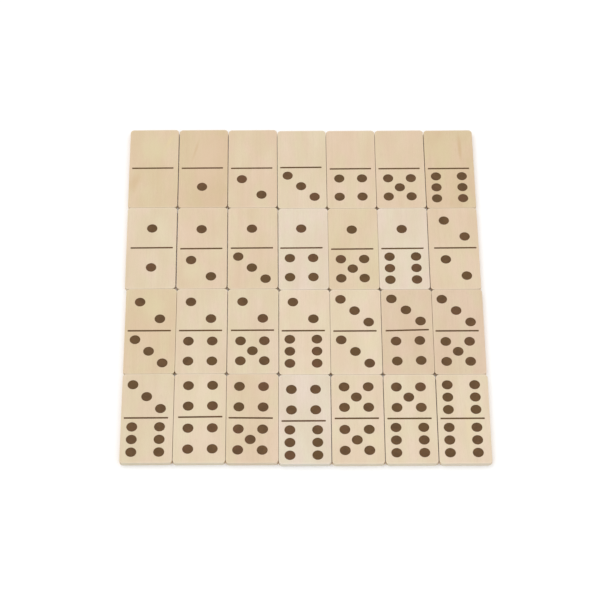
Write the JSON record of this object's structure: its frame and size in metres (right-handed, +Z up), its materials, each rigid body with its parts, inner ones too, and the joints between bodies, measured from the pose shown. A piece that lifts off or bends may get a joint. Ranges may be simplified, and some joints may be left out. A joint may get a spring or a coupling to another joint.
{
  "type": "wooden domino set",
  "caption": "Flat wooden domino tiles with round corners and engraved brown pips, a full double-six set laid face up in a block; each tile lifts out on its own.",
  "frame": {"origin": "on the table top, under the middle of the box round the laid-out set", "axes": "+Z up out of the tiles' faces; +Y along the length of the tiles, towards the first row of the counting order; +X to the right, along the rows, in counting order"},
  "size_m": [0.1774, 0.201, 0.0022],
  "materials": {
    "tile_wood": "pale close-grained hardwood, sanded smooth, matt and unvarnished",
    "mark_inlay": "dark brown scorched inlay, flat and matt"
  },
  "bodies": {
    "domino_0_0": {"tile_0_0": "tile_wood", "marks_0_0": "mark_inlay"},
    "domino_0_1": {"tile_0_1": "tile_wood", "marks_0_1": "mark_inlay"},
    "domino_0_2": {"tile_0_2": "tile_wood", "marks_0_2": "mark_inlay"},
    "domino_0_3": {"tile_0_3": "tile_wood", "marks_0_3": "mark_inlay"},
    "domino_0_4": {"tile_0_4": "tile_wood", "marks_0_4": "mark_inlay"},
    "domino_0_5": {"tile_0_5": "tile_wood", "marks_0_5": "mark_inlay"},
    "domino_0_6": {"tile_0_6": "tile_wood", "marks_0_6": "mark_inlay"},
    "domino_1_1": {"tile_1_1": "tile_wood", "marks_1_1": "mark_inlay"},
    "domino_1_2": {"tile_1_2": "tile_wood", "marks_1_2": "mark_inlay"},
    "domino_1_3": {"tile_1_3": "tile_wood", "marks_1_3": "mark_inlay"},
    "domino_1_4": {"tile_1_4": "tile_wood", "marks_1_4": "mark_inlay"},
    "domino_1_5": {"tile_1_5": "tile_wood", "marks_1_5": "mark_inlay"},
    "domino_1_6": {"tile_1_6": "tile_wood", "marks_1_6": "mark_inlay"},
    "domino_2_2": {"tile_2_2": "tile_wood", "marks_2_2": "mark_inlay"},
    "domino_2_3": {"tile_2_3": "tile_wood", "marks_2_3": "mark_inlay"},
    "domino_2_4": {"tile_2_4": "tile_wood", "marks_2_4": "mark_inlay"},
    "domino_2_5": {"tile_2_5": "tile_wood", "marks_2_5": "mark_inlay"},
    "domino_2_6": {"tile_2_6": "tile_wood", "marks_2_6": "mark_inlay"},
    "domino_3_3": {"tile_3_3": "tile_wood", "marks_3_3": "mark_inlay"},
    "domino_3_4": {"tile_3_4": "tile_wood", "marks_3_4": "mark_inlay"},
    "domino_3_5": {"tile_3_5": "tile_wood", "marks_3_5": "mark_inlay"},
    "domino_3_6": {"tile_3_6": "tile_wood", "marks_3_6": "mark_inlay"},
    "domino_4_4": {"tile_4_4": "tile_wood", "marks_4_4": "mark_inlay"},
    "domino_4_5": {"tile_4_5": "tile_wood", "marks_4_5": "mark_inlay"},
    "domino_4_6": {"tile_4_6": "tile_wood", "marks_4_6": "mark_inlay"},
    "domino_5_5": {"tile_5_5": "tile_wood", "marks_5_5": "mark_inlay"},
    "domino_5_6": {"tile_5_6": "tile_wood", "marks_5_6": "mark_inlay"},
    "domino_6_6": {"tile_6_6": "tile_wood", "marks_6_6": "mark_inlay"}
  },
  "joints": [
    {"name": "lift_0_1", "type": "slide", "parent": "domino_0_0", "child": "domino_0_1", "axis": [0, 0, 1], "range_m": [0, 0.03]},
    {"name": "lift_0_2", "type": "slide", "parent": "domino_0_0", "child": "domino_0_2", "axis": [0, 0, 1], "range_m": [0, 0.03]},
    {"name": "lift_0_3", "type": "slide", "parent": "domino_0_0", "child": "domino_0_3", "axis": [0, 0, 1], "range_m": [0, 0.03]},
    {"name": "lift_0_4", "type": "slide", "parent": "domino_0_0", "child": "domino_0_4", "axis": [0, 0, 1], "range_m": [0, 0.03]},
    {"name": "lift_0_5", "type": "slide", "parent": "domino_0_0", "child": "domino_0_5", "axis": [0, 0, 1], "range_m": [0, 0.03]},
    {"name": "lift_0_6", "type": "slide", "parent": "domino_0_0", "child": "domino_0_6", "axis": [0, 0, 1], "range_m": [0, 0.03]},
    {"name": "lift_1_1", "type": "slide", "parent": "domino_0_0", "child": "domino_1_1", "axis": [0, 0, 1], "range_m": [0, 0.03]},
    {"name": "lift_1_2", "type": "slide", "parent": "domino_0_0", "child": "domino_1_2", "axis": [0, 0, 1], "range_m": [0, 0.03]},
    {"name": "lift_1_3", "type": "slide", "parent": "domino_0_0", "child": "domino_1_3", "axis": [0, 0, 1], "range_m": [0, 0.03]},
    {"name": "lift_1_4", "type": "slide", "parent": "domino_0_0", "child": "domino_1_4", "axis": [0, 0, 1], "range_m": [0, 0.03]},
    {"name": "lift_1_5", "type": "slide", "parent": "domino_0_0", "child": "domino_1_5", "axis": [0, 0, 1], "range_m": [0, 0.03]},
    {"name": "lift_1_6", "type": "slide", "parent": "domino_0_0", "child": "domino_1_6", "axis": [0, 0, 1], "range_m": [0, 0.03]},
    {"name": "lift_2_2", "type": "slide", "parent": "domino_0_0", "child": "domino_2_2", "axis": [0, 0, 1], "range_m": [0, 0.03]},
    {"name": "lift_2_3", "type": "slide", "parent": "domino_0_0", "child": "domino_2_3", "axis": [0, 0, 1], "range_m": [0, 0.03]},
    {"name": "lift_2_4", "type": "slide", "parent": "domino_0_0", "child": "domino_2_4", "axis": [0, 0, 1], "range_m": [0, 0.03]},
    {"name": "lift_2_5", "type": "slide", "parent": "domino_0_0", "child": "domino_2_5", "axis": [0, 0, 1], "range_m": [0, 0.03]},
    {"name": "lift_2_6", "type": "slide", "parent": "domino_0_0", "child": "domino_2_6", "axis": [0, 0, 1], "range_m": [0, 0.03]},
    {"name": "lift_3_3", "type": "slide", "parent": "domino_0_0", "child": "domino_3_3", "axis": [0, 0, 1], "range_m": [0, 0.03]},
    {"name": "lift_3_4", "type": "slide", "parent": "domino_0_0", "child": "domino_3_4", "axis": [0, 0, 1], "range_m": [0, 0.03]},
    {"name": "lift_3_5", "type": "slide", "parent": "domino_0_0", "child": "domino_3_5", "axis": [0, 0, 1], "range_m": [0, 0.03]},
    {"name": "lift_3_6", "type": "slide", "parent": "domino_0_0", "child": "domino_3_6", "axis": [0, 0, 1], "range_m": [0, 0.03]},
    {"name": "lift_4_4", "type": "slide", "parent": "domino_0_0", "child": "domino_4_4", "axis": [0, 0, 1], "range_m": [0, 0.03]},
    {"name": "lift_4_5", "type": "slide", "parent": "domino_0_0", "child": "domino_4_5", "axis": [0, 0, 1], "range_m": [0, 0.03]},
    {"name": "lift_4_6", "type": "slide", "parent": "domino_0_0", "child": "domino_4_6", "axis": [0, 0, 1], "range_m": [0, 0.03]},
    {"name": "lift_5_5", "type": "slide", "parent": "domino_0_0", "child": "domino_5_5", "axis": [0, 0, 1], "range_m": [0, 0.03]},
    {"name": "lift_5_6", "type": "slide", "parent": "domino_0_0", "child": "domino_5_6", "axis": [0, 0, 1], "range_m": [0, 0.03]},
    {"name": "lift_6_6", "type": "slide", "parent": "domino_0_0", "child": "domino_6_6", "axis": [0, 0, 1], "range_m": [0, 0.03]}
  ]
}
